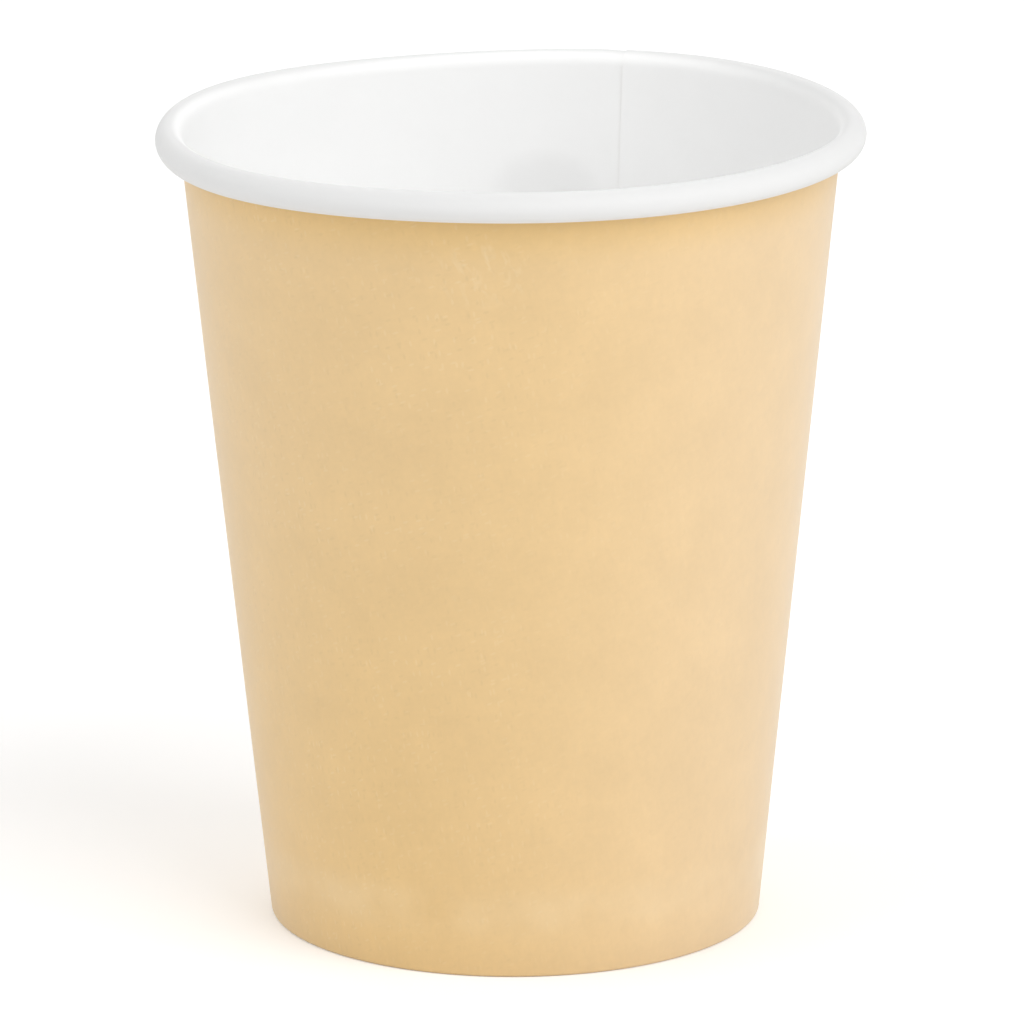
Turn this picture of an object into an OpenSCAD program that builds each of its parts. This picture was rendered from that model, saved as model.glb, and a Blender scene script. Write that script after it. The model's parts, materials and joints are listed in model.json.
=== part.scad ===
// Paper hot-drink cup: one wrapped and rolled sidewall sheet, and one flanged base disc.
// The cup stands on Z = 0 with its axis on Z. The side seam lies on the far side, away from -Y.

/* [Cup] */
// Outside diameter over the rolled rim
rim_d = 80; // [74:0.5:90]
// Outside diameter of the wall where it meets the table
base_d = 56; // [48:0.5:62]
// Height from the table to the top of the rim
cup_h = 92; // [70:1:120]

/* [Board] */
// Thickness of the sidewall board
wall_t = 0.36; // [0.28:0.02:0.42]
// Thickness of the base disc board
base_t = 0.3; // [0.24:0.02:0.42]
// Gap left between two sealed faces
seal_gap = 0.02; // [0.01:0.01:0.04]

/* [Rolled rim] */
// Width of the roll, from the inner face of the wall outward
roll_w = 3.1; // [2.9:0.1:3.8]
// Height of the roll, from its underside to the top of the rim
roll_h = 3.3; // [3:0.1:4]
// Angle that the board is wound through, counted from upright
roll_turn = 405; // [300:15:405]
// Air between the turns of the roll where the seam is lapped
roll_gap = 0.06; // [0.04:0.01:0.1]

/* [Side seam] */
// Direction of the inner ply's cut edge, seen from above, in degrees from +X
seam_angle = 69; // [0:1:359]
// Width of the lap, measured at the rim
seam_lap = 7; // [5:0.5:9]
// Width over which the outer ply climbs onto the inner ply, measured at the rim
seam_ramp = 3; // [2:0.25:4]

/* [Base] */
// Height of the base disc's underside above the table
recess = 6.6; // [5:0.2:9]
// Inside radius of the bend between the disc and its skirt
bend_r = 0.4; // [0.3:0.1:0.8]
// Height of the skirt's cut edge above the floor of the fold
skirt_clear = 0.8; // [0.4:0.1:1.5]
// Distance of the hem's cut edge below the base disc
hem_clear = 1; // [0.6:0.1:1.5]

/* [Hidden] */
$fn = 180;
// Angle of one facet of a round surface
facet_a = 360 / $fn;

// Degrees between neighbouring points along the roll
roll_step = 15;
// The outer ply of the lap ends part of the way round the roll
lap_turn = 240;
// Segments in each rounded corner of the fold, and in the bend of the disc
corner_steps = 4;
bend_steps = 6;
// Slices that the climbing part of the outer ply is built from
ramp_slices = 4;

// Room that one turn of the roll takes up where the seam doubles the board
roll_pitch = 2 * wall_t + roll_gap;
// Half axes and centre of the roll's oval
roll_a = roll_w / 2;
roll_b = (roll_h + roll_pitch / 2) / 2;
roll_c = [rim_d / 2 - roll_a, cup_h - roll_b];

// Width of the slot between the wall and the hem, which holds the skirt of the base disc
slot_w = base_t + 2 * seal_gap;
// Height of the hem's cut edge above the table
hem_h = recess - hem_clear;

// Support distance of the roll's oval in the direction of an angle
function oval_reach(a) = norm([roll_a * cos(a), roll_b * sin(a)]);
// Angle between the wall and the axis, for a wall whose inner face passes the roll's centre at a distance
function wall_lean(reach) =
    let (to_roll = roll_c - [base_d / 2, 0])
    atan2(to_roll.x, to_roll.y) - asin((reach - wall_t) / norm(to_roll));
// The inner face of the wall runs tangent into the roll
lean = wall_lean(oval_reach(180 - wall_lean(roll_a)));

// Direction in the section plane, as a unit vector
function heading(a) = [cos(a), sin(a)];
// Outward from the wall, square to its face
outward = heading(-lean);
// Point at height z on a line parallel to the wall, a distance s outside its outer face
function beside_wall(s, z) = [base_d / 2 + s / cos(lean) + z * tan(lean), z];
// Points along an arc
function arc(centre, r, from, to, steps) =
    [for (i = [0 : steps]) centre + r * heading(from + (to - from) * i / steps)];
// The same points in the opposite order
function reversed(points) = [for (i = [len(points) - 1 : -1 : 0]) points[i]];
// Angle at the axis of a width at the rim, to a whole number of facets, so that the plies' facets line up
function facets_at_rim(width) = facet_a * max(1, round(width / (rim_d / 2) * 180 / PI / facet_a));

// Point of the roll after a turn from upright, at a depth below the inner face of the inner ply.
// The first half turn follows the oval, and the rest winds inward to pass under the wall.
function roll_point(turn, depth) =
    let (a = 180 - turn)
    let (wound_in = roll_pitch * max(0, min(1, (turn - 180) / 180)))
    let (on_oval = [pow(roll_a, 2) * cos(a), pow(roll_b, 2) * sin(a)] / oval_reach(a))
    roll_c + on_oval - (wound_in + depth) * heading(a);
function roll_face(depth, turn) =
    [for (a = concat([lean], [for (k = [roll_step : roll_step : turn]) k])) roll_point(a, depth)];

// Corners of the slot's floor, under the hem and under the wall
slot_in = beside_wall(-wall_t - slot_w, wall_t);
slot_out = beside_wall(-wall_t, wall_t);

// Outline of the board in section, as one band from the hem's cut edge to the end of the roll.
// The wall lies a distance out from its normal place, and the hem stays where it is.
function board_outline(out, turn) =
    let (hem_edge = beside_wall(-wall_t - slot_w, hem_h))
    let (corner = slot_out + out * outward)
    let (outer_face = concat(
        [hem_edge - wall_t * outward],
        arc(slot_in, wall_t, -180 - lean, -90, corner_steps),
        arc(corner, corner.y, -90, -lean, corner_steps),
        roll_face(out + wall_t, turn)
    ))
    let (inner_face = concat([hem_edge, slot_in, corner], roll_face(out, turn)))
    concat(outer_face, reversed(inner_face));

// Outline of the base disc in section: flat disc, bend, and a skirt along the wall
function disc_outline() =
    let (skirt_face = -wall_t - seal_gap)
    let (skirt_edge = beside_wall(skirt_face, wall_t + skirt_clear))
    let (outer_r = bend_r + base_t)
    let (bend_c = beside_wall(skirt_face, recess - bend_r) - [outer_r / cos(lean), 0])
    let (upper_face = concat([skirt_edge], arc(bend_c, outer_r, -lean, 90, bend_steps)))
    let (lower_face = concat([skirt_edge - base_t * outward], arc(bend_c, bend_r, -lean, 90, bend_steps)))
    concat(upper_face, [[0, recess + base_t], [0, recess]], reversed(lower_face));

// The sheet wrapped into a cone: hem folded in at the foot, lapped side seam, rim rolled outward
module sidewall() {
    lap_a = facets_at_rim(seam_lap);
    ramp_a = facets_at_rim(seam_ramp);
    slice_a = ramp_a / ramp_slices;
    color([0.91, 0.78, 0.58]) {
        rotate_extrude(start = seam_angle + ramp_a, angle = 360 - ramp_a)
            polygon(board_outline(0, roll_turn));
        for (i = [0 : ramp_slices - 1])
            rotate_extrude(start = seam_angle + i * slice_a, angle = slice_a)
                polygon(board_outline(wall_t * (1 - (i + 0.5) / ramp_slices), roll_turn));
        rotate_extrude(start = seam_angle - lap_a, angle = lap_a)
            polygon(board_outline(wall_t, lap_turn));
    }
}

// The flanged disc sealed between the wall and its hem
module base_disc() {
    color([0.95, 0.95, 0.94])
        rotate_extrude()
            polygon(disc_outline());
}

sidewall();
base_disc();
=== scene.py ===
"""Builds the paper cup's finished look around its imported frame.

One operator builds the wrapped and rolled sheet, one the base disc, and one the stage.
"""

import json
import math

import bpy
from mathutils import Matrix, Vector, noise


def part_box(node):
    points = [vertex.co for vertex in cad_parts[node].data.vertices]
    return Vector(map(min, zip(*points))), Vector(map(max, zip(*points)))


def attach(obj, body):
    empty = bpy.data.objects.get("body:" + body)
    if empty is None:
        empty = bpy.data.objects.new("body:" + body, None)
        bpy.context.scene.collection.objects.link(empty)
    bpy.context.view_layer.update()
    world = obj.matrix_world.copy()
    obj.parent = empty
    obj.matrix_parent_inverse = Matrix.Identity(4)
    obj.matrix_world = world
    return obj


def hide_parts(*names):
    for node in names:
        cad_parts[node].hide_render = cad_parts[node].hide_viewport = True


bl_info = {
    "name": "Paper Cup",
    "version": (1, 0, 0),
    "blender": (4, 5, 0),
    "location": "View3D > Sidebar > Paper Cup",
    "description": "Builds a wrapped, rolled and sealed paper cup with its studio stage",
    "category": "Add Mesh",
}

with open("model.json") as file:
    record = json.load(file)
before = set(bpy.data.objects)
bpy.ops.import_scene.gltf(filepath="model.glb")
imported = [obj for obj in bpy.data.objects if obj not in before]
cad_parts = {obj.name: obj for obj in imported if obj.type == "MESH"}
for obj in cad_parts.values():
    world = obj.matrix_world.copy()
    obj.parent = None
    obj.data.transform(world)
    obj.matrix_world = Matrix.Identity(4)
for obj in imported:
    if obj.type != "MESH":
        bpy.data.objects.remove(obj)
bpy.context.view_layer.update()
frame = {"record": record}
SHEET_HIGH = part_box("sidewall")[1]
DISC_LOW, DISC_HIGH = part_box("base_disc")

MM = 0.001
# Direction of the side seam, from +X
SEAM_ANGLE = math.radians(69)


def rim_radius_in_frame():
    """The rim's outer radius, as the frame's rim mount gives it."""
    for mount in frame["record"]["mounts"]:
        if mount["name"] == "rim":
            return mount["dims"]["r_mm"] * MM
    raise RuntimeError("the frame has no rim mount")


RIM_RADIUS = rim_radius_in_frame()


class CupShape(bpy.types.PropertyGroup):
    """Sizes of the two pieces of board and of the cup that they make."""

    rim_radius: bpy.props.FloatProperty(
        name="Rim Radius",
        description="Outer radius of the rolled rim",
        default=RIM_RADIUS,
        unit="LENGTH",
    )
    foot_radius: bpy.props.FloatProperty(
        name="Foot Radius",
        description="Outer radius of the wall where it meets the table",
        default=28.0 * MM,
        unit="LENGTH",
    )
    height: bpy.props.FloatProperty(
        name="Height",
        description="Height of the top of the rim above the table",
        default=SHEET_HIGH.z,
        unit="LENGTH",
    )
    sheet_board: bpy.props.FloatProperty(
        name="Sheet Board",
        description="Thickness of the sidewall sheet",
        default=0.36 * MM,
        unit="LENGTH",
    )
    base_board: bpy.props.FloatProperty(
        name="Base Board",
        description="Thickness of the base disc",
        default=0.30 * MM,
        unit="LENGTH",
    )
    seal_gap: bpy.props.FloatProperty(
        name="Seal Gap",
        description="Gap left between two sealed faces",
        default=0.02 * MM,
        unit="LENGTH",
    )
    roll_width: bpy.props.FloatProperty(
        name="Roll Width",
        description="Width of the rolled rim, from the wall's inner face outward",
        default=3.1 * MM,
        unit="LENGTH",
    )
    roll_height: bpy.props.FloatProperty(
        name="Roll Height",
        description="Height of the rolled rim",
        default=3.3 * MM,
        unit="LENGTH",
    )
    roll_gap: bpy.props.FloatProperty(
        name="Roll Gap",
        description="Air between the turns of the roll where the seam is lapped",
        default=0.06 * MM,
        unit="LENGTH",
    )
    roll_turn: bpy.props.FloatProperty(
        name="Roll Turn",
        description="Angle that the board is wound through at the rim",
        default=math.radians(405),
        subtype="ANGLE",
    )
    seam_angle: bpy.props.FloatProperty(
        name="Seam Angle",
        description="Direction of the inner ply's cut edge, from +X",
        default=SEAM_ANGLE,
        subtype="ANGLE",
    )
    seam_lap: bpy.props.FloatProperty(
        name="Seam Lap",
        description="Angle that the two plies share",
        default=math.radians(10),
        subtype="ANGLE",
    )
    seam_ramp: bpy.props.FloatProperty(
        name="Seam Ramp",
        description="Angle over which one ply climbs onto the other",
        default=math.radians(4),
        subtype="ANGLE",
    )
    seam_press: bpy.props.FloatProperty(
        name="Seam Press",
        description="Angle over which the inner ply is pressed thinner towards its cut edge",
        default=math.radians(3),
        subtype="ANGLE",
    )
    pressed_board: bpy.props.FloatProperty(
        name="Pressed Board",
        description="Thickness of the inner ply at its pressed cut edge",
        default=0.07 * MM,
        unit="LENGTH",
    )
    hem_height: bpy.props.FloatProperty(
        name="Hem Height",
        description="Height of the hem's cut edge above the table",
        default=5.6 * MM,
        unit="LENGTH",
    )
    fold_radius: bpy.props.FloatProperty(
        name="Fold Radius",
        description="Inside radius of the pressed fold at the foot",
        default=0.08 * MM,
        unit="LENGTH",
    )
    bend_radius: bpy.props.FloatProperty(
        name="Bend Radius",
        description="Inside radius of the bend between the base disc and its skirt",
        default=0.4 * MM,
        unit="LENGTH",
    )


class CupFinish(bpy.types.PropertyGroup):
    """Colours of the board's faces, with painted sheen and painted shade among them."""

    brown: bpy.props.FloatVectorProperty(
        name="Brown Print",
        description="Colour printed on the outside",
        subtype="COLOR",
        size=3,
        min=0.0,
        max=1.0,
        default=(0.785, 0.547, 0.258),
    )
    # Painted sheen: a paler, greyer print on the front right, which stands in for the lamp's sheen there
    painted_sheen_print: bpy.props.FloatVectorProperty(
        name="Thin Print",
        description="Colour of the brown print on the side where its ink is thin",
        subtype="COLOR",
        size=3,
        min=0.0,
        max=1.0,
        default=(0.795, 0.621, 0.43),
    )
    # Painted shade: a deeper, more saturated print, laid low on the front left and close under the rim
    painted_shade_print: bpy.props.FloatVectorProperty(
        name="Deep Print",
        description="Colour of the brown print where its ink lies thick",
        subtype="COLOR",
        size=3,
        min=0.0,
        max=1.0,
        default=(0.776, 0.501, 0.153),
    )
    fleck: bpy.props.FloatVectorProperty(
        name="Pale Fleck",
        description="Colour of bare fibre in the brown print",
        subtype="COLOR",
        size=3,
        min=0.0,
        max=1.0,
        default=(0.902, 0.732, 0.468),
    )
    white: bpy.props.FloatVectorProperty(
        name="White Coating",
        description="Colour of the coated inside and of the base",
        subtype="COLOR",
        size=3,
        min=0.0,
        max=1.0,
        default=(0.955, 0.955, 0.95),
    )
    # Painted shade: the white coating is made darker on the rolled rim, where the lamps light it strongly
    rim: bpy.props.FloatVectorProperty(
        name="Rim Coating",
        description="Colour of the coating where it is stretched round the rolled rim",
        subtype="COLOR",
        size=3,
        min=0.0,
        max=1.0,
        default=(0.795, 0.795, 0.79),
    )
    core: bpy.props.FloatVectorProperty(
        name="Board Core",
        description="Colour of the board's cut edges",
        subtype="COLOR",
        size=3,
        min=0.0,
        max=1.0,
        default=(0.80, 0.76, 0.68),
    )


class CupStage(bpy.types.PropertyGroup):
    """Camera, lamps and ground."""

    camera_distance: bpy.props.FloatProperty(
        name="Camera Distance",
        description="Distance from the camera to the point that it looks at",
        default=1.0213,
        unit="LENGTH",
    )
    camera_elevation: bpy.props.FloatProperty(
        name="Camera Elevation",
        description="Angle of the view above the table",
        default=math.radians(14.555),
        subtype="ANGLE",
    )
    camera_roll: bpy.props.FloatProperty(
        name="Camera Roll",
        description="Turn of the camera about its line of sight",
        default=math.radians(-0.456),
        subtype="ANGLE",
    )
    camera_lens: bpy.props.FloatProperty(
        name="Camera Lens",
        description="Focal length in millimetres on a 36 mm sensor",
        default=316.5,
    )
    aim_height: bpy.props.FloatProperty(
        name="Aim Height",
        description="Height on the cup's axis that the camera looks at",
        default=46.43 * MM,
        unit="LENGTH",
    )
    right_power: bpy.props.FloatProperty(
        name="Right Lamp",
        description="Power of the large lamp at the front right",
        default=8.80,
        unit="POWER",
    )
    left_power: bpy.props.FloatProperty(
        name="Left Lamp",
        description="Power of the large lamp at the left",
        default=4.51,
        unit="POWER",
    )
    back_power: bpy.props.FloatProperty(
        name="Back Lamp",
        description="Power of the large lamp above and behind",
        default=3.23,
        unit="POWER",
    )
    surround_fill: bpy.props.FloatProperty(
        name="Surroundings Fill",
        description="Strength of the plain white light that comes from all round",
        default=0.47,
    )
    ground_glow: bpy.props.FloatProperty(
        name="Ground Glow",
        description="Strength added to the ground where the camera sees it, so that it shows as white",
        default=0.16,
    )


def heading(angle):
    """Unit direction in the section plane, as (outward, up)."""
    return Vector((math.cos(angle), math.sin(angle)))


def smooth_step(value):
    """Eases from 0 to 1 as value goes from 0 to 1."""
    value = min(max(value, 0.0), 1.0)
    return value * value * (3.0 - 2.0 * value)


class SheetSection:
    """The sidewall sheet cut through the axis: hem, pressed fold, wall and rolled rim.

    Each point of its white face comes with the direction of the brown face from there.
    """

    HEM_ROWS = 5
    CORNER_ROWS = 5
    WALL_ROWS = 26
    ROLL_ROWS = 54

    def __init__(self, shape):
        """Works out the roll's oval and the wall's lean from the cup's sizes."""
        self.board = shape.sheet_board
        self.slot = shape.base_board + 2 * shape.seal_gap
        self.pitch = 2 * self.board + shape.roll_gap
        self.roll_turn = shape.roll_turn
        self.roll_a = shape.roll_width / 2
        self.roll_b = (shape.roll_height + self.pitch / 2) / 2
        self.roll_centre = Vector((shape.rim_radius - self.roll_a, shape.height - self.roll_b))
        self.foot_radius = shape.foot_radius
        self.hem_height = shape.hem_height
        self.fold_radius = shape.fold_radius
        first_lean = self.lean_for(self.roll_a)
        self.lean = self.lean_for(self.oval_reach(math.pi - first_lean))

    def lean_for(self, reach):
        """Lean of a wall whose white face passes the roll's centre at a distance."""
        to_roll = self.roll_centre - Vector((self.foot_radius, 0.0))
        return math.atan2(to_roll.x, to_roll.y) - math.asin((reach - self.board) / to_roll.length)

    def oval_reach(self, angle):
        """How far the roll's oval reaches from its centre in a direction."""
        return math.hypot(self.roll_a * math.cos(angle), self.roll_b * math.sin(angle))

    def beside_wall(self, aside, height):
        """Point on a line parallel to the wall, a distance outside the wall's outer face."""
        radius = self.foot_radius + aside / math.cos(self.lean) + height * math.tan(self.lean)
        return Vector((radius, height))

    def roll_point(self, turn, depth):
        """Point of the roll after a turn from upright, at a depth below the outermost face."""
        angle = math.pi - turn
        wound_in = self.pitch * min(max(turn / math.pi - 1.0, 0.0), 1.0)
        on_oval = Vector((self.roll_a ** 2 * math.cos(angle), self.roll_b ** 2 * math.sin(angle)))
        return self.roll_centre + on_oval / self.oval_reach(angle) - (wound_in + depth) * heading(angle)

    def rows(self, out, lift, hem_in):
        """White points with their directions to the brown face, from the hem's cut edge to the roll's end.

        The wall lies a distance out, the fold's floor is lifted, and the hem lies a distance in.
        """
        bend = self.fold_radius
        floor = self.board + lift + bend
        inner = self.beside_wall(bend - self.board - self.slot - hem_in, floor)
        outer = self.beside_wall(out - self.board - bend, floor)
        hem_edge = self.beside_wall(-self.board - self.slot - hem_in, self.hem_height)
        wall_out = -self.lean
        hem_out = math.pi - self.lean
        downward = 1.5 * math.pi
        bends = ((inner, hem_out, downward), (outer, downward, 2 * math.pi + wall_out))
        result = []
        hem_foot = inner + bend * heading(hem_out)
        for i in range(self.HEM_ROWS):
            result.append((hem_edge.lerp(hem_foot, i / self.HEM_ROWS), hem_out))
        for centre, start, end in bends:
            for i in range(self.CORNER_ROWS + 1):
                angle = start + (end - start) * i / self.CORNER_ROWS
                result.append((centre + bend * heading(angle), angle))
        wall_foot = result[-1][0]
        wall_top = self.roll_point(self.lean, out)
        for i in range(1, self.WALL_ROWS):
            result.append((wall_foot.lerp(wall_top, i / self.WALL_ROWS), wall_out))
        for i in range(self.ROLL_ROWS + 1):
            turn = self.lean + (self.roll_turn - self.lean) * i / self.ROLL_ROWS
            result.append((self.roll_point(turn, out), -turn))
        return result


# Slow unevenness of a hand-sized paper cup. Each row is a number of waves round the cup, how far they
# move the rim or the foot outward, and how far they lift the rim, as cosine and sine parts in millimetres.
RIM_WAVES = (
    (1, (0.0, 0.0), (0.05, 0.11)),
    (2, (0.01, 0.19), (-0.06, 0.16)),
    (3, (0.20, 0.18), (-0.08, 0.15)),
    (4, (-0.08, 0.0), (-0.03, -0.10)),
)
FOOT_WAVES = (
    (2, (-0.09, -0.23)),
    (3, (0.02, 0.05)),
)
# Powers of the height by which the rim's moves and lifts grow from the table upward
MOVE_POWER = 1.5
LIFT_POWER = 2
# A fine ripple, in waves to a metre, which is full above the first eighth of the height
RIPPLE_DEPTH = 0.03 * MM
RIPPLE_SCALE = 40.0
RIPPLE_RISE = 8.0


def wave(waves, parts, angle):
    """Height in metres of a wave round the cup, from its cosine and sine parts in millimetres."""
    return (parts[0] * math.cos(waves * angle) + parts[1] * math.sin(waves * angle)) * MM


def settled(radius, angle, height, shape):
    """Where a point at a radius, angle and height comes to lie on the slightly uneven cup."""
    share = min(max(height / shape.height, 0.0), 1.0)
    rim_move = sum(wave(waves, moves, angle) for waves, moves, lifts in RIM_WAVES)
    foot_move = sum(wave(waves, moves, angle) for waves, moves in FOOT_WAVES)
    lift = sum(wave(waves, lifts, angle) for waves, moves, lifts in RIM_WAVES)
    outward = Vector((math.cos(angle), math.sin(angle), 0.0))
    ripple = noise.noise((outward * radius + Vector((0.0, 0.0, height))) * RIPPLE_SCALE) * RIPPLE_DEPTH
    ripple *= smooth_step(share * RIPPLE_RISE)
    moved = radius + rim_move * share ** MOVE_POWER + foot_move * (1.0 - share) + ripple
    return outward * moved + Vector((0.0, 0.0, height + lift * share ** LIFT_POWER))


# A crease that turns by more than this is shaded sharp
SHARP_TURN = math.radians(35)


def quad_strip(first, second, closed):
    """Quads between two equally long runs of vertex numbers."""
    count = len(first)
    last = count if closed else count - 1
    return [(first[i], first[(i + 1) % count], second[(i + 1) % count], second[i]) for i in range(last)]


def board_mesh(name, white, brown, closed, centre=None):
    """Mesh of a board from its two faces, each a list of columns of points.

    Its faces take material 0 on the white face, 1 on the brown face and 2 on the cut edges. A closed board
    goes right round. Where centre gives a point for each face, the last rows meet there in place of an
    edge.
    """
    columns = len(white)
    rows = len(white[0])
    points = [point for column in white + brown for point in column]
    offset = columns * rows
    faces = []
    slots = []

    def add(new_faces, slot):
        """Adds faces that take one material."""
        faces.extend(new_faces)
        slots.extend([slot] * len(new_faces))

    def run(row, side):
        """Vertex numbers along one row of one face."""
        return [side * offset + column * rows + row for column in range(columns)]

    for row in range(rows - 1):
        add(quad_strip(run(row, 0), run(row + 1, 0), closed), 0)
        add(quad_strip(run(row + 1, 1), run(row, 1), closed), 1)
    add(quad_strip(run(0, 1), run(0, 0), closed), 2)
    if centre is None:
        add(quad_strip(run(rows - 1, 0), run(rows - 1, 1), closed), 2)
    else:
        for side, point in enumerate(centre):
            tip = len(points)
            points.append(point)
            ring = run(rows - 1, side)
            pairs = list(zip(ring, ring[1:] + ring[:1]))
            if side:
                add([(a, tip, b) for a, b in pairs], side)
            else:
                add([(a, b, tip) for a, b in pairs], side)
    if not closed:
        first = [list(range(rows)), list(range(offset, offset + rows))]
        shift = (columns - 1) * rows
        add(quad_strip(first[0], first[1], False), 2)
        add(quad_strip([i + shift for i in first[1]], [i + shift for i in first[0]], False), 2)
    mesh = bpy.data.meshes.new(name)
    mesh.from_pydata(points, [], faces)
    mesh.polygons.foreach_set("material_index", slots)
    mesh.update()
    mesh.shade_smooth()
    mesh.set_sharp_from_angle(angle=SHARP_TURN)
    return mesh


def add_piece(name, mesh, materials, node):
    """Puts a mesh in the scene as a piece that rides on the cup and replaces a node."""
    for material in materials:
        mesh.materials.append(material)
    piece = bpy.data.objects.new(name, mesh)
    bpy.context.scene.collection.objects.link(piece)
    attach(piece, "root")
    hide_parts(node)
    return piece


class NodeDesk:
    """Short ways to add and join shader nodes in one node tree."""

    # A Mix node's two inputs and its output, by what it mixes
    MIX_SOCKETS = {"RGBA": (6, 7, 2), "VECTOR": (4, 5, 1)}

    def __init__(self, tree):
        """Takes the node tree that the nodes go in."""
        self.tree = tree

    def add(self, kind, **inputs):
        """Adds a node and feeds its inputs. An underscore stands for a space in an input's name."""
        node = self.tree.nodes.new(kind)
        for key, value in inputs.items():
            self.feed(node.inputs[key.replace("_", " ")], value)
        return node

    def feed(self, socket, value):
        """Joins a socket to another, or sets its value."""
        if isinstance(value, bpy.types.NodeSocket):
            self.tree.links.new(value, socket)
        else:
            socket.default_value = value

    def math(self, operation, first, second=0.0, clamp=False):
        """One Math node, returning its value."""
        node = self.tree.nodes.new("ShaderNodeMath")
        node.operation = operation
        node.use_clamp = clamp
        self.feed(node.inputs[0], first)
        self.feed(node.inputs[1], second)
        return node.outputs[0]

    def mix(self, factor, first, second, blend="MIX", kind="RGBA"):
        """One Mix node for colours or vectors, returning what it mixes."""
        node = self.tree.nodes.new("ShaderNodeMix")
        node.data_type = kind
        node.blend_type = blend
        first_socket, second_socket, result = self.MIX_SOCKETS[kind]
        self.feed(node.inputs[0], factor)
        self.feed(node.inputs[first_socket], first)
        self.feed(node.inputs[second_socket], second)
        return node.outputs[result]

    def spread(self, value, low, high, to_low=0.0, to_high=1.0, smooth=False):
        """Maps a value from one range to another, with its ends held."""
        node = self.tree.nodes.new("ShaderNodeMapRange")
        node.interpolation_type = "SMOOTHSTEP" if smooth else "LINEAR"
        for index, number in enumerate((value, low, high, to_low, to_high)):
            self.feed(node.inputs[index], number)
        return node.outputs[0]

    def turned(self, vector, turn, stretch):
        """A place for a texture whose features lie along a turn, longer than wide by a stretch."""
        rotation = (0.0, 0.0, turn)
        node = self.add("ShaderNodeMapping", Vector=vector, Rotation=rotation, Scale=(stretch, 1.0, 1.0))
        node.vector_type = "TEXTURE"
        return node.outputs[0]

    def noise(self, vector, scale, detail=2.0, roughness=0.5, distortion=0.0):
        """One Noise Texture, returning its value."""
        node = self.add(
            "ShaderNodeTexNoise",
            Vector=vector,
            Scale=scale,
            Detail=detail,
            Roughness=roughness,
            Distortion=distortion,
        )
        return node.outputs[0]


# Turn that brings the side seam to where the wrapped texture ends, and the radius that it is unrolled at
UNROLL_TURN = math.pi - SEAM_ANGLE
UNROLL_RADIUS = 33.0 * MM

# Parts of a noise's range that are spread over a tone or a roughness
WIDE_NOISE = (0.2, 0.8)
USUAL_NOISE = (0.25, 0.75)
CLOSE_NOISE = (0.3, 0.7)

# Board: the usual scales of its clouds and fibres, in features to a metre, how the two layers of fibres
# lie, as a turn and a stretch, and the fibres' share of the relief
BOARD_CLOUDS = 120.0
BOARD_FIBRES = 1500.0
FIBRE_LAYS = ((0.3, 1.8), (1.8, 2.2))
FIBRE_RELIEF = 0.7
# Share of a soft spot's reach, squared, within which the spot is full
SPOT_FULL = 0.05

# Brown print: how far its clouds, patches and fibres change its tone, and how its surface shines
PATCH_SCALE = 60.0
CLOUD_TONE = (0.964, 1.036)
PATCH_TONE = (0.983, 1.017)
FIBRE_TONE = (0.973, 1.027)
PRINT_ROUGHNESS = (0.46, 0.54)
PRINT_SPECULAR = 0.8
PRINT_SHEEN = 0.35
PRINT_SHEEN_ROUGHNESS = 0.5
PRINT_BUMP = 0.07
PRINT_BUMP_DEPTH = 0.02 * MM
# Short marks in the print: their two turns, the share of cells that have one, and their strengths
MARK_SCALE = 1700.0
MARK_TURNS = (0.4, 1.7)
MARK_STRETCH = 2.4
MARK_EDGE = (0.12, 0.34)
MARK_SHARE = 0.14
MARK_RELIEF = 0.3
PALE_STRENGTH = 0.16
DARK_STRENGTH = 0.04
# The marks show most on the left half of the front, and there in some of the patches
HELD_AROUND = (24.0 * MM, 6.0 * MM)
HELD_LEAST = 0.4
HELD_PATCHES = (0.4, 0.6)
HELD_PATCH_LEAST = 0.35
# Scuffs on the front under the rim: their place and reach, round the sheet and above the table
SCUFF_CENTRE = (9.5 * MM, 82.5 * MM)
SCUFF_REACH = (6.0 * MM, 4.5 * MM)
SCUFF_SCALE = 1000.0
SCUFF_TURN = 1.9
SCUFF_STRETCH = 2.0
SCUFF_STROKES = (0.53, 0.72)
SCUFF_STRENGTH = 0.3
# A rubbed band near the foot, between the heights where it rises and falls, and painted shade that darkens
# the foot under it
RUBBED_RISE = (3.5 * MM, 7.0 * MM)
RUBBED_FALL = (8.0 * MM, 11.5 * MM)
RUBBED_PATCHES = (0.35, 0.62)
RUBBED_STRENGTH = 0.28
FOOT_SHADE_FALL = (1.0 * MM, 4.5 * MM)
FOOT_SHADE_STRENGTH = 0.03
# Where round the sheet the print is painted paler (painted sheen) and deeper (painted shade), how far each
# reaches from there, and within what distance both are full. The painted shade fades in between two heights,
# from the upper one down.
PAINTED_SHEEN_AROUND = 48.0 * MM
PAINTED_SHEEN_REACH = 38.0 * MM
PAINTED_SHEEN_STRENGTH = 0.3
PAINTED_SHADE_AROUND = -14.0 * MM
PAINTED_SHADE_REACH = 34.0 * MM
PAINTED_SHADE_HEIGHTS = (75.0 * MM, 8.0 * MM)
PAINTED_SHADE_STRENGTH = 0.34
FULL_REACH = 6.0 * MM
# Close under the rim the ink is painted deeper and warmer all round, from one height to the other: a painted
# shade where the rim's shadow falls
UNDER_RIM_SHADE = (82.5 * MM, 88.5 * MM)
UNDER_RIM_SHADE_STRENGTH = 0.5
UNDER_RIM_SHADE_GAIN = 1.08

# White coating
COATING_CLOUDS = 260.0
COATING_FIBRES = 1200.0
COATING_TONE = (0.992, 1.006)
COATING_ROUGHNESS = (0.44, 0.52)
COATING_SPECULAR = 0.15
COATING_BUMP = 0.08
COATING_BUMP_DEPTH = 0.015 * MM
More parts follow.
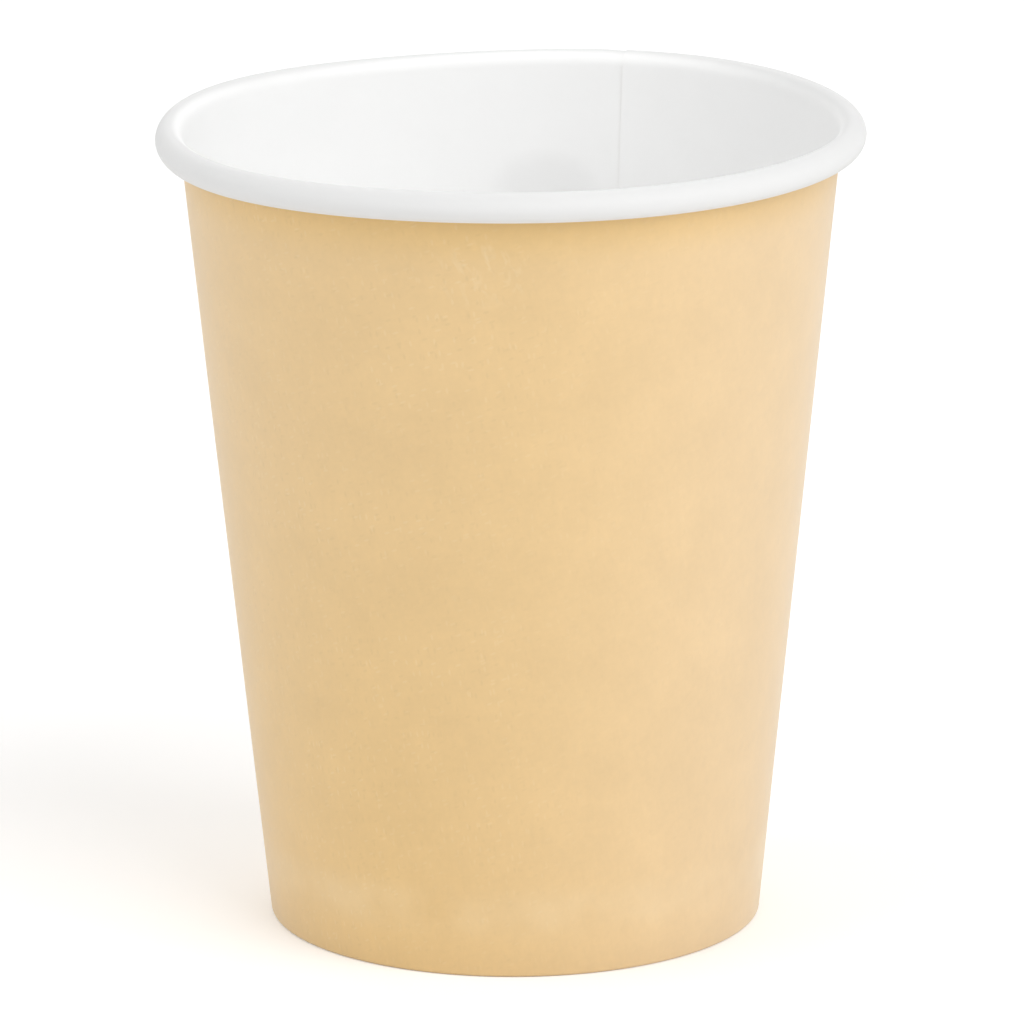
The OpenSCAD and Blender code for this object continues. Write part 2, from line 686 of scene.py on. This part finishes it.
# The painted shade on the rim sets in over these distances outside the wall's inner face, and the darker
# painted shade on its crest over these depths below the top
RIM_SHADE_START = (0.2 * MM, 1.2 * MM)
CREST_SHADE_DEPTHS = (1.4 * MM, 0.2 * MM)
CREST_SHADE_GAIN = 0.95
# A painted shade spot that darkens the coating on the far inside: its place and reach, round the sheet
# and above the table
SHADE_SPOT_CENTRE = (-95.5 * MM, 76.6 * MM)
SHADE_SPOT_REACH = (7.0 * MM, 5.0 * MM)
SHADE_SPOT_STRENGTH = 0.06

# Cut edges of the board
CORE_CLOUDS = 900.0
CORE_FIBRES = 4000.0
CORE_GAINS = (0.85, 1.08)
CORE_ROUGHNESS = 0.85
CORE_BUMP = 0.4
CORE_BUMP_DEPTH = 0.03 * MM


def board_place(desk, flat):
    """Place of a point on the board, in metres: where textures are laid, and the same as three values.

    The values are the distance round the sheet, the height and the radius, so that a texture wraps with the
    board. Where flat is 1 textures are laid in plain space, which suits a flat disc.
    """
    place = desk.add("ShaderNodeTexCoord").outputs["Object"]
    turned = desk.add("ShaderNodeMapping", Vector=place, Rotation=(0.0, 0.0, UNROLL_TURN)).outputs[0]
    split = desk.add("ShaderNodeSeparateXYZ", Vector=turned).outputs
    angle = desk.math("ARCTAN2", split["Y"], split["X"])
    around = desk.math("MULTIPLY", angle, UNROLL_RADIUS)
    squares = [desk.math("MULTIPLY", split[axis], split[axis]) for axis in ("X", "Y")]
    radius = desk.math("SQRT", desk.math("ADD", *squares))
    wrapped = desk.add("ShaderNodeCombineXYZ", X=around, Y=split["Z"], Z=radius).outputs[0]
    return desk.mix(flat, wrapped, place, kind="VECTOR"), (around, split["Z"], radius)


def new_group(name, inputs, outputs):
    """An empty shader node group with its sockets: inputs as (name, default), outputs as names."""
    tree = bpy.data.node_groups.new(name, "ShaderNodeTree")
    for socket_name, default in inputs:
        socket = tree.interface.new_socket(socket_name, in_out="INPUT", socket_type="NodeSocketFloat")
        socket.default_value = default
    for socket_name in outputs:
        tree.interface.new_socket(socket_name, in_out="OUTPUT", socket_type="NodeSocketFloat")
    return tree, tree.nodes.new("NodeGroupInput"), tree.nodes.new("NodeGroupOutput")


def build_formation_group():
    """The board's make-up: soft clouds of fibre, single fibres, their relief, and the place on the board."""
    tree, given, result = new_group(
        "board_formation",
        (("Cloud Scale", BOARD_CLOUDS), ("Fibre Scale", BOARD_FIBRES), ("Flat", 0.0)),
        ("Clouds", "Fibres", "Relief", "Around", "Above", "Radius"),
    )
    desk = NodeDesk(tree)
    place, wrapped = board_place(desk, given.outputs["Flat"])
    clouds = desk.noise(place, given.outputs["Cloud Scale"], detail=4.0, roughness=0.72)
    layers = []
    for turn, stretch in FIBRE_LAYS:
        laid = desk.turned(place, turn, stretch)
        layers.append(desk.noise(laid, given.outputs["Fibre Scale"], roughness=0.6, distortion=0.4))
    fibres = desk.math("MULTIPLY", desk.math("ADD", *layers), 0.5)
    fibre_relief = desk.math("MULTIPLY", fibres, FIBRE_RELIEF)
    cloud_relief = desk.math("MULTIPLY", clouds, 1.0 - FIBRE_RELIEF)
    relief = desk.math("ADD", fibre_relief, cloud_relief)
    for socket, value in zip(result.inputs, (clouds, fibres, relief) + wrapped):
        desk.feed(socket, value)
    return tree


def build_spot_group():
    """One soft oval spot on the sheet, as a mask that falls from 1 near its centre to 0 at its reach."""
    tree, given, result = new_group(
        "soft_spot",
        (
            ("Around", 0.0),
            ("Above", 0.0),
            ("Centre Around", 0.0),
            ("Centre Above", 0.0),
            ("Reach Around", 1.0),
            ("Reach Above", 1.0),
        ),
        ("Mask",),
    )
    desk = NodeDesk(tree)
    off = 0.0
    for name in ("Around", "Above"):
        away = desk.math("SUBTRACT", given.outputs[name], given.outputs["Centre " + name])
        share = desk.math("DIVIDE", away, given.outputs["Reach " + name])
        off = desk.math("ADD", desk.math("MULTIPLY", share, share), off)
    desk.feed(result.inputs["Mask"], desk.spread(off, SPOT_FULL, 1.0, 1.0, 0.0, smooth=True))
    return tree


def placed_group(desk, name, build, **inputs):
    """Places a node group, which is built the first time, and joins or sets its inputs."""
    node = desk.tree.nodes.new("ShaderNodeGroup")
    node.node_tree = bpy.data.node_groups.get(name) or build()
    for key, value in inputs.items():
        desk.feed(node.inputs[key.replace("_", " ")], value)
    return node.outputs


def formation(desk, **inputs):
    """The board's make-up and place, from the board_formation group."""
    return placed_group(desk, "board_formation", build_formation_group, **inputs)


def soft_spot(desk, board, centre, reach):
    """Mask of one soft oval spot, from its centre and its reach, each round the sheet and upward."""
    outputs = placed_group(
        desk,
        "soft_spot",
        build_spot_group,
        Around=board["Around"],
        Above=board["Above"],
        Centre_Around=centre[0],
        Centre_Above=centre[1],
        Reach_Around=reach[0],
        Reach_Above=reach[1],
    )
    return outputs["Mask"]


def new_material(name):
    """A material with an empty desk, its Principled shader and nothing else."""
    material = bpy.data.materials.new(name)
    material.use_nodes = True
    tree = material.node_tree
    tree.nodes.clear()
    output = tree.nodes.new("ShaderNodeOutputMaterial")
    shader = tree.nodes.new("ShaderNodeBsdfPrincipled")
    tree.links.new(shader.outputs[0], output.inputs["Surface"])
    return material, NodeDesk(tree), shader


def rgba(colour, gain=1.0):
    """A colour property as a four-part value, brightened or darkened by a gain."""
    return (colour[0] * gain, colour[1] * gain, colour[2] * gain, 1.0)


def emboss(desk, shader, relief, strength, depth):
    """Bumps the shader's surface by a relief, whose depth is in metres."""
    bump = desk.add("ShaderNodeBump", Height=relief, Strength=strength, Distance=depth)
    desk.feed(shader.inputs["Normal"], bump.outputs[0])


def short_marks(desk, place, turn):
    """Short marks, spaced apart and lying along a turn: a mask of bare fibre and a mask of deeper ink."""
    cells = desk.add("ShaderNodeTexVoronoi")
    cells.voronoi_dimensions = "2D"
    desk.feed(cells.inputs["Vector"], desk.turned(place, turn, MARK_STRETCH))
    desk.feed(cells.inputs["Scale"], MARK_SCALE)
    near = desk.spread(cells.outputs["Distance"], *MARK_EDGE, 1.0, 0.0, smooth=True)
    chance = desk.add("ShaderNodeSeparateColor", Color=cells.outputs["Color"]).outputs[0]
    pale = desk.math("MULTIPLY", near, desk.math("LESS_THAN", chance, MARK_SHARE))
    dark = desk.math("MULTIPLY", near, desk.math("GREATER_THAN", chance, 1.0 - MARK_SHARE))
    return pale, dark


def ink_and_painted_light_colour(desk, finish, around, above):
    """Colour of the ink, with painted sheen to one side and painted shade to the other and under the rim."""
    # Painted sheen: paler ink on the front right
    from_painted_sheen = desk.math("ABSOLUTE", desk.math("SUBTRACT", around, PAINTED_SHEEN_AROUND))
    painted_sheen = desk.spread(from_painted_sheen, PAINTED_SHEEN_REACH, FULL_REACH, smooth=True)
    ink = desk.mix(desk.math("MULTIPLY", painted_sheen, PAINTED_SHEEN_STRENGTH), rgba(finish.brown), rgba(finish.painted_sheen_print))
    # Painted shade: deeper ink low on the front left, where less sheen falls
    from_painted_shade = desk.math("ABSOLUTE", desk.math("SUBTRACT", around, PAINTED_SHADE_AROUND))
    painted_shade = desk.spread(from_painted_shade, PAINTED_SHADE_REACH, FULL_REACH, smooth=True)
    painted_shade = desk.math("MULTIPLY", painted_shade, desk.spread(above, *PAINTED_SHADE_HEIGHTS, smooth=True))
    ink = desk.mix(desk.math("MULTIPLY", painted_shade, PAINTED_SHADE_STRENGTH), ink, rgba(finish.painted_shade_print))
    # Painted shade: warmer, deeper ink in the rim's shadow
    under_rim_shade = desk.spread(above, *UNDER_RIM_SHADE, smooth=True)
    under_rim_shade = desk.math("MULTIPLY", under_rim_shade, UNDER_RIM_SHADE_STRENGTH)
    return desk.mix(under_rim_shade, ink, rgba(finish.painted_shade_print, UNDER_RIM_SHADE_GAIN))


def brown_print_and_painted_light_material(finish):
    """Plain brown print on the outside: clouded ink over fibrous board, marked, scuffed and worn, with painted
    sheen and shade.
    """
    material, desk, shader = new_material("brown_print_and_painted_light")
    board = formation(desk)
    around = board["Around"]
    above = board["Above"]
    place = desk.add("ShaderNodeCombineXYZ", X=around, Y=above, Z=board["Radius"]).outputs[0]
    patches = desk.noise(place, PATCH_SCALE, detail=3.0, roughness=0.6)

    held = desk.spread(around, *HELD_AROUND, HELD_LEAST, 1.0, smooth=True)
    held = desk.math("MULTIPLY", held, desk.spread(patches, *HELD_PATCHES, HELD_PATCH_LEAST, 1.0))
    marks = zip(*(short_marks(desk, place, turn) for turn in MARK_TURNS))
    pale, dark = (desk.math("MULTIPLY", desk.math("MAXIMUM", *pair), held) for pair in marks)

    strokes = desk.turned(place, SCUFF_TURN, SCUFF_STRETCH)
    scuffs = desk.spread(desk.noise(strokes, SCUFF_SCALE, distortion=0.5), *SCUFF_STROKES)
    scuffs = desk.math("MULTIPLY", scuffs, soft_spot(desk, board, SCUFF_CENTRE, SCUFF_REACH))

    rubbed_low = desk.spread(above, *RUBBED_RISE, smooth=True)
    rubbed_high = desk.spread(above, *RUBBED_FALL, 1.0, 0.0, smooth=True)
    rubbed = desk.math("MULTIPLY", rubbed_low, rubbed_high)
    rubbed = desk.math("MULTIPLY", rubbed, desk.spread(patches, *RUBBED_PATCHES))
    # Painted shade: the print darkens towards the foot
    foot_shade = desk.spread(above, *FOOT_SHADE_FALL, 1.0, 0.0, smooth=True)

    tone = desk.spread(board["Clouds"], *WIDE_NOISE, *CLOUD_TONE)
    tone = desk.math("MULTIPLY", tone, desk.spread(patches, *WIDE_NOISE, *PATCH_TONE))
    tone = desk.math("MULTIPLY", tone, desk.spread(board["Fibres"], *USUAL_NOISE, *FIBRE_TONE))
    tone = desk.math("SUBTRACT", tone, desk.math("MULTIPLY", dark, DARK_STRENGTH))
    # Painted shade at the foot
    tone = desk.math("SUBTRACT", tone, desk.math("MULTIPLY", foot_shade, FOOT_SHADE_STRENGTH))
    ink = desk.mix(1.0, ink_and_painted_light_colour(desk, finish, around, above), tone, blend="MULTIPLY")
    bare = desk.math("MULTIPLY", pale, PALE_STRENGTH)
    bare = desk.math("ADD", bare, desk.math("MULTIPLY", rubbed, RUBBED_STRENGTH))
    bare = desk.math("ADD", bare, desk.math("MULTIPLY", scuffs, SCUFF_STRENGTH))
    desk.feed(shader.inputs["Base Color"], desk.mix(bare, ink, rgba(finish.fleck)))
    desk.feed(shader.inputs["Roughness"], desk.spread(board["Fibres"], *CLOSE_NOISE, *PRINT_ROUGHNESS))
    shader.inputs["Specular IOR Level"].default_value = PRINT_SPECULAR
    shader.inputs["Sheen Weight"].default_value = PRINT_SHEEN
    shader.inputs["Sheen Roughness"].default_value = PRINT_SHEEN_ROUGHNESS
    mark_relief = desk.math("MULTIPLY", desk.math("SUBTRACT", pale, dark), MARK_RELIEF)
    relief = desk.math("ADD", board["Relief"], mark_relief)
    emboss(desk, shader, relief, PRINT_BUMP, PRINT_BUMP_DEPTH)
    return material


def white_coating_and_shade_material(finish, shape, flat=0.0):
    """Smooth white coating on the inside, the rim and the base, with painted shade on the rim and on the far
    inside.
    """
    material, desk, shader = new_material("white_coating_and_shade")
    board = formation(desk, Cloud_Scale=COATING_CLOUDS, Fibre_Scale=COATING_FIBRES, Flat=flat)
    wall_radius = shape.rim_radius - shape.roll_width
    rim_range = [wall_radius + distance for distance in RIM_SHADE_START]
    crest_range = [shape.height - depth for depth in CREST_SHADE_DEPTHS]
    # Painted shade: the rim's coating is darkened, and its crest more so
    rim_shade_mask = desk.spread(board["Radius"], *rim_range, smooth=True)
    crest_shade_mask = desk.spread(board["Above"], *crest_range, smooth=True)
    rim = desk.mix(crest_shade_mask, rgba(finish.rim), rgba(finish.rim, CREST_SHADE_GAIN))
    plain = desk.mix(rim_shade_mask, rgba(finish.white), rim)
    # Painted shade: a soft darker patch on the far inside wall
    shade_spot = soft_spot(desk, board, SHADE_SPOT_CENTRE, SHADE_SPOT_REACH)
    tone = desk.spread(board["Clouds"], *CLOSE_NOISE, *COATING_TONE)
    tone = desk.math("SUBTRACT", tone, desk.math("MULTIPLY", shade_spot, SHADE_SPOT_STRENGTH))
    desk.feed(shader.inputs["Base Color"], desk.mix(1.0, plain, tone, blend="MULTIPLY"))
    desk.feed(shader.inputs["Roughness"], desk.spread(board["Clouds"], *CLOSE_NOISE, *COATING_ROUGHNESS))
    shader.inputs["Specular IOR Level"].default_value = COATING_SPECULAR
    emboss(desk, shader, board["Relief"], COATING_BUMP, COATING_BUMP_DEPTH)
    return material


def board_core_material(finish):
    """Raw cut edge of the board: pressed layers of fibre."""
    material, desk, shader = new_material("board_core")
    board = formation(desk, Cloud_Scale=CORE_CLOUDS, Fibre_Scale=CORE_FIBRES)
    dark, pale = (rgba(finish.core, gain) for gain in CORE_GAINS)
    desk.feed(shader.inputs["Base Color"], desk.mix(board["Fibres"], dark, pale))
    shader.inputs["Roughness"].default_value = CORE_ROUGHNESS
    emboss(desk, shader, board["Relief"], CORE_BUMP, CORE_BUMP_DEPTH)
    return material


class PAPERCUP_OT_sheet(bpy.types.Operator):
    """Wrap, hem, lap and roll the sidewall sheet"""

    bl_idname = "papercup.sheet"
    bl_label = "Build Sidewall Sheet"

    COLUMN_STEP = math.radians(1.125)
    PRESS_COLUMNS = 5
    RAMP_COLUMNS = 8
    LAP_COLUMNS = 7
    LAP_GAP = 0.01 * MM
    KNURL_DEPTH = 0.07 * MM
    KNURL_LOW = 1.3 * MM
    KNURL_HIGH = 5.0 * MM

    def columns(self, shape):
        """Angles wound from the inner ply's cut edge to the outer ply's cut edge."""
        full = 2 * math.pi
        pressed = full + shape.seam_press
        stops = (0.0, shape.seam_press, full - shape.seam_ramp, full, pressed, full + shape.seam_lap)
        # None stands for as many columns as the usual step gives
        counts = (self.PRESS_COLUMNS, None, self.RAMP_COLUMNS, self.PRESS_COLUMNS, self.LAP_COLUMNS)
        angles = []
        for start, end, count in zip(stops, stops[1:], counts):
            count = count or round((end - start) / self.COLUMN_STEP)
            angles += [start + (end - start) * i / count for i in range(count)]
        return angles + [stops[-1]]

    def ply(self, wound, shape):
        """Thickness of the board, which is pressed thinner towards the inner ply's cut edge."""
        growth = shape.sheet_board - shape.pressed_board
        return shape.pressed_board + growth * smooth_step(wound / shape.seam_press)

    def climb(self, wound, shape):
        """How far out the sheet lies: on the wall's own line, or on the back of the inner ply."""
        past = wound - 2 * math.pi
        if past > 0.0:
            return self.ply(past, shape) + self.LAP_GAP
        return (shape.pressed_board + self.LAP_GAP) * smooth_step(past / shape.seam_ramp + 1.0)

    def execute(self, context):
        """Builds the sheet's two faces column by column, round the cup from one cut edge to the other."""
        shape = context.scene.cup_shape
        finish = context.scene.cup_finish
        section = SheetSection(shape)
        full_lift = shape.sheet_board + self.LAP_GAP
        white = []
        brown = []
        for number, wound in enumerate(self.columns(shape)):
            out = self.climb(wound, shape)
            lift = full_lift * (1.0 - smooth_step((wound - shape.seam_lap) / shape.seam_ramp))
            angle = shape.seam_angle - wound
            white_column = []
            brown_column = []
            for row, (point, away) in enumerate(section.rows(out, lift, out)):
                depth = self.ply(wound, shape)
                on_knurl = row < section.HEM_ROWS and self.KNURL_LOW < point.y < self.KNURL_HIGH
                if on_knurl and number % 2:
                    depth -= self.KNURL_DEPTH
                far = point + depth * heading(away)
                white_column.append(settled(point.x, angle, point.y, shape))
                brown_column.append(settled(far.x, angle, far.y, shape))
            white.append(white_column)
            brown.append(brown_column)
        mesh = board_mesh("sidewall_sheet", white, brown, closed=False)
        coating = white_coating_and_shade_material(finish, shape)
        materials = (coating, brown_print_and_painted_light_material(finish), board_core_material(finish))
        add_piece("sidewall_sheet", mesh, materials, "sidewall")
        return {"FINISHED"}


class PAPERCUP_OT_base(bpy.types.Operator):
    """Press the base disc and its skirt"""

    bl_idname = "papercup.base"
    bl_label = "Build Base Disc"

    COLUMNS = 160
    SKIRT_ROWS = 6
    BEND_ROWS = 8
    DISC_ROWS = 12
    SAG = 0.12 * MM

    def execute(self, context):
        """Builds the disc's two faces from one profile, which runs from the skirt's cut edge to the middle."""
        shape = context.scene.cup_shape
        finish = context.scene.cup_finish
        section = SheetSection(shape)
        board = shape.base_board
        outer = shape.bend_radius + board
        beside = -shape.sheet_board - shape.seal_gap
        skirt_edge = section.beside_wall(beside, DISC_LOW.z)
        bend_centre = section.beside_wall(beside, DISC_HIGH.z - outer)
        bend_centre -= Vector((outer / math.cos(section.lean), 0.0))
        bend_start = bend_centre + outer * heading(-section.lean)
        profile = []
        for i in range(self.SKIRT_ROWS):
            profile.append((skirt_edge.lerp(bend_start, i / self.SKIRT_ROWS), -section.lean))
        for i in range(self.BEND_ROWS + 1):
            angle = -section.lean + (math.pi / 2 + section.lean) * i / self.BEND_ROWS
            profile.append((bend_centre + outer * heading(angle), angle))
        flat_radius = profile[-1][0].x
        for i in range(1, self.DISC_ROWS):
            share = 1.0 - i / self.DISC_ROWS
            sag = self.SAG * smooth_step(i / self.DISC_ROWS)
            profile.append((Vector((flat_radius * share, DISC_HIGH.z - sag)), math.pi / 2))
        top = []
        under = []
        for column in range(self.COLUMNS):
            around = 2 * math.pi * column / self.COLUMNS
            top.append([settled(p.x, around, p.y, shape) for p, away in profile])
            inner = [p - board * heading(away) for p, away in profile]
            under.append([settled(p.x, around, p.y, shape) for p in inner])
        middle = Vector((0.0, 0.0, DISC_HIGH.z - self.SAG))
        centre = (middle - Vector((0.0, 0.0, board)), middle)
        mesh = board_mesh("base_board", under, top, closed=True, centre=centre)
        coating = white_coating_and_shade_material(finish, shape, flat=1.0)
        materials = (coating, coating, board_core_material(finish))
        add_piece("base_board", mesh, materials, "base_disc")
        return {"FINISHED"}


class PAPERCUP_OT_stage(bpy.types.Operator):
    """Set the camera, the lamps, the white surroundings and the ground"""

    bl_idname = "papercup.stage"
    bl_label = "Build Stage"

    WHITE = (1.0, 1.0, 1.0, 1.0)
    SENSOR_WIDTH = 36.0
    GROUND_RADIUS = 3.0
    GROUND_COLOUR = (0.92, 0.92, 0.92, 1.0)
    GROUND_ROUGHNESS = 0.9
    LAMP_DISTANCE = 1.2
    LAMP_SIZE = 1.1
    # Each lamp's name, its degrees round the cup from the front and above the table, and whether gloss
    # shows it
    LAMPS = (
        ("right_lamp", 48.0, 40.0, True),
        ("left_lamp", -75.0, 40.0, True),
        ("back_lamp", 180.0, 60.0, False),
    )

    def place_camera(self, context, stage):
        """The camera looks at the cup's axis from the front, with a little roll."""
        data = bpy.data.cameras.new("camera")
        data.sensor_width = self.SENSOR_WIDTH
        data.lens = stage.camera_lens
        camera = bpy.data.objects.new("camera", data)
        context.scene.collection.objects.link(camera)
        back = Vector((0.0, -math.cos(stage.camera_elevation), math.sin(stage.camera_elevation)))
        right = Vector((1.0, 0.0, 0.0))
        up = back.cross(right)
        cosine = math.cos(stage.camera_roll)
        sine = math.sin(stage.camera_roll)
        rolled_right = right * cosine + up * sine
        rolled_up = up * cosine - right * sine
        turn = Matrix((rolled_right, rolled_up, back)).transposed().to_4x4()
        place = Vector((0.0, 0.0, stage.aim_height)) + back * stage.camera_distance
        camera.matrix_world = Matrix.Translation(place) @ turn
        context.scene.camera = camera

    def place_lamp(self, context, name, around, above, power, mirrored):
        """A large square lamp that faces the middle of the cup, from angles round it and above it."""
        data = bpy.data.lights.new(name, "AREA")
        data.shape = "SQUARE"
        data.size = self.LAMP_SIZE
        data.energy = power
        lamp = bpy.data.objects.new(name, data)
        lamp.visible_glossy = mirrored
        context.scene.collection.objects.link(lamp)
        level = math.cos(above)
        away = Vector((math.sin(around) * level, -math.cos(around) * level, math.sin(above)))
        lamp.location = Vector((0.0, 0.0, context.scene.cup_shape.height / 2)) + self.LAMP_DISTANCE * away
        lamp.rotation_euler = (-away).to_track_quat("-Z", "Y").to_euler()

    def light_surroundings(self, context, stage):
        """White surroundings that are seen and mirrored at full strength, and give a plain fill light."""
        world = bpy.data.worlds.new("surroundings")
        world.use_nodes = True
        desk = NodeDesk(world.node_tree)
        world.node_tree.nodes.clear()
        output = desk.add("ShaderNodeOutputWorld")
        path = desk.add("ShaderNodeLightPath")
        seen = desk.math("ADD", path.outputs["Is Camera Ray"], path.outputs["Is Glossy Ray"], clamp=True)
        strength = desk.spread(seen, 0.0, 1.0, stage.surround_fill, 1.0)
        background = desk.add("ShaderNodeBackground", Color=self.WHITE, Strength=strength)
        desk.feed(output.inputs["Surface"], background.outputs[0])
        context.scene.world = world

    def lay_ground(self, context, stage):
        """A pale ground that shows as white where the cup doesn't shade it."""
        radius = self.GROUND_RADIUS
        mesh = bpy.data.meshes.new("ground")
        corners = [(x * radius, y * radius, 0.0) for x, y in ((-1, -1), (1, -1), (1, 1), (-1, 1))]
        mesh.from_pydata(corners, [], [(0, 1, 2, 3)])
        material, desk, shader = new_material("ground_paper")
        shader.inputs["Base Color"].default_value = self.GROUND_COLOUR
        shader.inputs["Roughness"].default_value = self.GROUND_ROUGHNESS
        seen = desk.add("ShaderNodeLightPath").outputs["Is Camera Ray"]
        shader.inputs["Emission Color"].default_value = self.WHITE
        desk.feed(shader.inputs["Emission Strength"], desk.math("MULTIPLY", seen, stage.ground_glow))
        mesh.materials.append(material)
        ground = bpy.data.objects.new("ground", mesh)
        context.scene.collection.objects.link(ground)

    def execute(self, context):
        """Builds the stage's parts in turn."""
        stage = context.scene.cup_stage
        self.place_camera(context, stage)
        powers = (stage.right_power, stage.left_power, stage.back_power)
        for (name, around, above, mirrored), power in zip(self.LAMPS, powers):
            self.place_lamp(context, name, math.radians(around), math.radians(above), power, mirrored)
        self.light_surroundings(context, stage)
        self.lay_ground(context, stage)
        context.scene.view_settings.view_transform = "Standard"
        return {"FINISHED"}


class PAPERCUP_PT_panel(bpy.types.Panel):
    """Panel that lists the cup's build steps and settings"""

    bl_label = "Paper Cup"
    bl_idname = "PAPERCUP_PT_panel"
    bl_space_type = "VIEW_3D"
    bl_region_type = "UI"
    bl_category = "Paper Cup"

    def draw(self, context):
        """Lists the operators, and every setting under them."""
        for operator in BUILD_STEPS:
            self.layout.operator(operator.bl_idname)
        for settings in (context.scene.cup_shape, context.scene.cup_finish, context.scene.cup_stage):
            box = self.layout.box()
            for name in settings.__annotations__:
                box.prop(settings, name)


BUILD_STEPS = (PAPERCUP_OT_sheet, PAPERCUP_OT_base, PAPERCUP_OT_stage)
CLASSES = (CupShape, CupFinish, CupStage) + BUILD_STEPS + (PAPERCUP_PT_panel,)


def register():
    """Registers the classes and gives each scene its settings."""
    for item in CLASSES:
        bpy.utils.register_class(item)
    bpy.types.Scene.cup_shape = bpy.props.PointerProperty(type=CupShape)
    bpy.types.Scene.cup_finish = bpy.props.PointerProperty(type=CupFinish)
    bpy.types.Scene.cup_stage = bpy.props.PointerProperty(type=CupStage)


def unregister():
    """Takes back what register did."""
    del bpy.types.Scene.cup_stage
    del bpy.types.Scene.cup_finish
    del bpy.types.Scene.cup_shape
    for item in reversed(CLASSES):
        bpy.utils.unregister_class(item)


def main():
    """Builds the cup and its stage with the add-on's own operators."""
    register()
    bpy.ops.papercup.sheet()
    bpy.ops.papercup.base()
    bpy.ops.papercup.stage()


if __name__ == "__main__":
    main()
